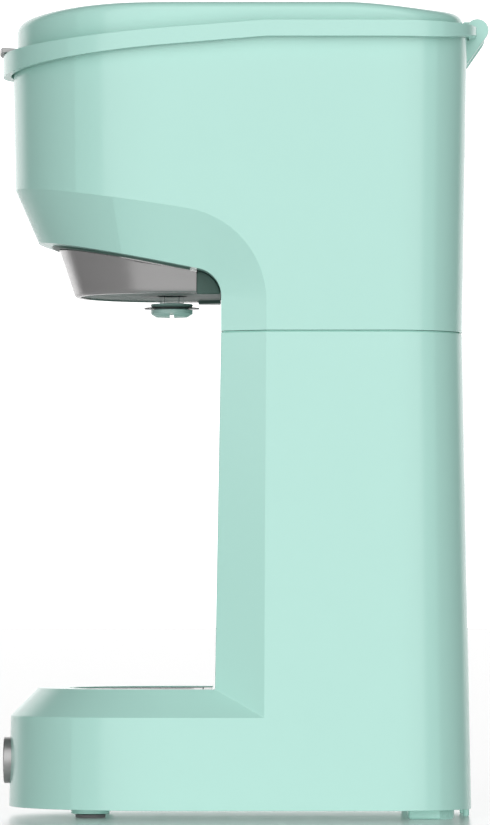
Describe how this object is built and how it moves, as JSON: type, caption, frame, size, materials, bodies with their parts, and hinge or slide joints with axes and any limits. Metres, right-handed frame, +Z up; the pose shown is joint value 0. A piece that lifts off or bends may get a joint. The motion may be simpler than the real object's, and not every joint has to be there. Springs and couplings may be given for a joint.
{
  "type": "drip coffee maker",
  "caption": "Small single-serve drip coffee maker: D-shaped base with drip tray, column, overhanging brew head with nozzle, hinged domed lid and a front push button.",
  "frame": {"origin": "on the table, under the middle of the plan", "axes": "+Z up, front (button and lid tab) at -Y, hinge at +Y, X across"},
  "size_m": [0.1272, 0.1795, 0.2942],
  "materials": {
    "mint_shell": "satin mint-green moulded plastic",
    "mint_underside": "matt mint-green moulded plastic",
    "black_plastic": "fine-grained black plastic",
    "insert_plastic": "dark green-grey plastic",
    "silver_trim": "satin metallised plastic",
    "satin_visor": "satin dark-silver metallised plastic",
    "steel": "plain stainless steel",
    "foot_rubber": "matt grey rubber",
    "silicone": "milky silicone rubber",
    "smoked_plastic": "smoked glossy plastic",
    "cast_aluminium": "as-cast aluminium",
    "circuit_board": "green circuit-board laminate",
    "brown_bakelite": "brown phenolic plastic"
  },
  "bodies": {
    "housing": {"lower_housing": "mint_shell", "base_plate": "mint_underside", "front_foot_pad_left": "foot_rubber", "front_foot_pad_right": "foot_rubber", "base_screw_1": "steel", "base_screw_2": "steel", "base_screw_3": "steel", "base_screw_4": "steel", "cord_gland": "black_plastic", "button_bezel": "silver_trim", "button_switch": "black_plastic", "button_spring": "steel", "control_board": "circuit_board", "heater": "cast_aluminium", "heater_strap": "steel", "strap_screw_left": "steel", "strap_screw_right": "steel", "thermostat": "brown_bakelite", "thermal_fuse": "steel", "terminal_block": "brown_bakelite", "wire_harness": "brown_bakelite", "water_tank": "smoked_plastic", "tank_filter": "steel", "upper_inlet_hose": "silicone", "lower_inlet_hose": "silicone", "check_valve": "black_plastic", "riser_hose": "silicone", "upper_housing": "mint_shell", "funnel_housing": "insert_plastic", "basket_trim": "satin_visor", "brew_basket": "black_plastic", "pod_holder": "smoked_plastic", "lower_needle": "steel", "drip_nozzle": "insert_plastic", "nozzle_flange": "black_plastic", "inner_deck": "black_plastic", "outlet_spout": "black_plastic", "spout_seal": "silicone", "hinge_pin": "steel"},
    "lid": {"lid_cover": "mint_shell", "lid_tab": "silver_trim", "lid_liner": "black_plastic", "brew_gasket": "silicone", "needle_holder": "black_plastic", "upper_needle": "steel", "lid_inlet_seal": "silicone", "lid_water_tube": "silicone"},
    "button": {"button_cap": "silver_trim"},
    "tray": {"drip_tray": "black_plastic"},
    "grille": {"drip_grille": "black_plastic"}
  },
  "joints": [
    {"name": "lid_hinge", "type": "hinge", "parent": "housing", "child": "lid", "pos_m": [0, 0.0855, 0.2872], "axis": [-1, 0, 0], "range_deg": [0, 95]},
    {"name": "button_press", "type": "slide", "parent": "housing", "child": "button", "axis": [0, 1, 0], "range_m": [0, 0.0015], "stiffness_N_per_m": 400, "springref_m": -0.001, "deforming": ["button_spring"]},
    {"name": "tray_lift", "type": "slide", "parent": "housing", "child": "tray", "axis": [0, 0, 1], "range_m": [0, 0.03]},
    {"name": "grille_lift", "type": "slide", "parent": "tray", "child": "grille", "axis": [0, 0, 1], "range_m": [0, 0.02]}
  ]
}
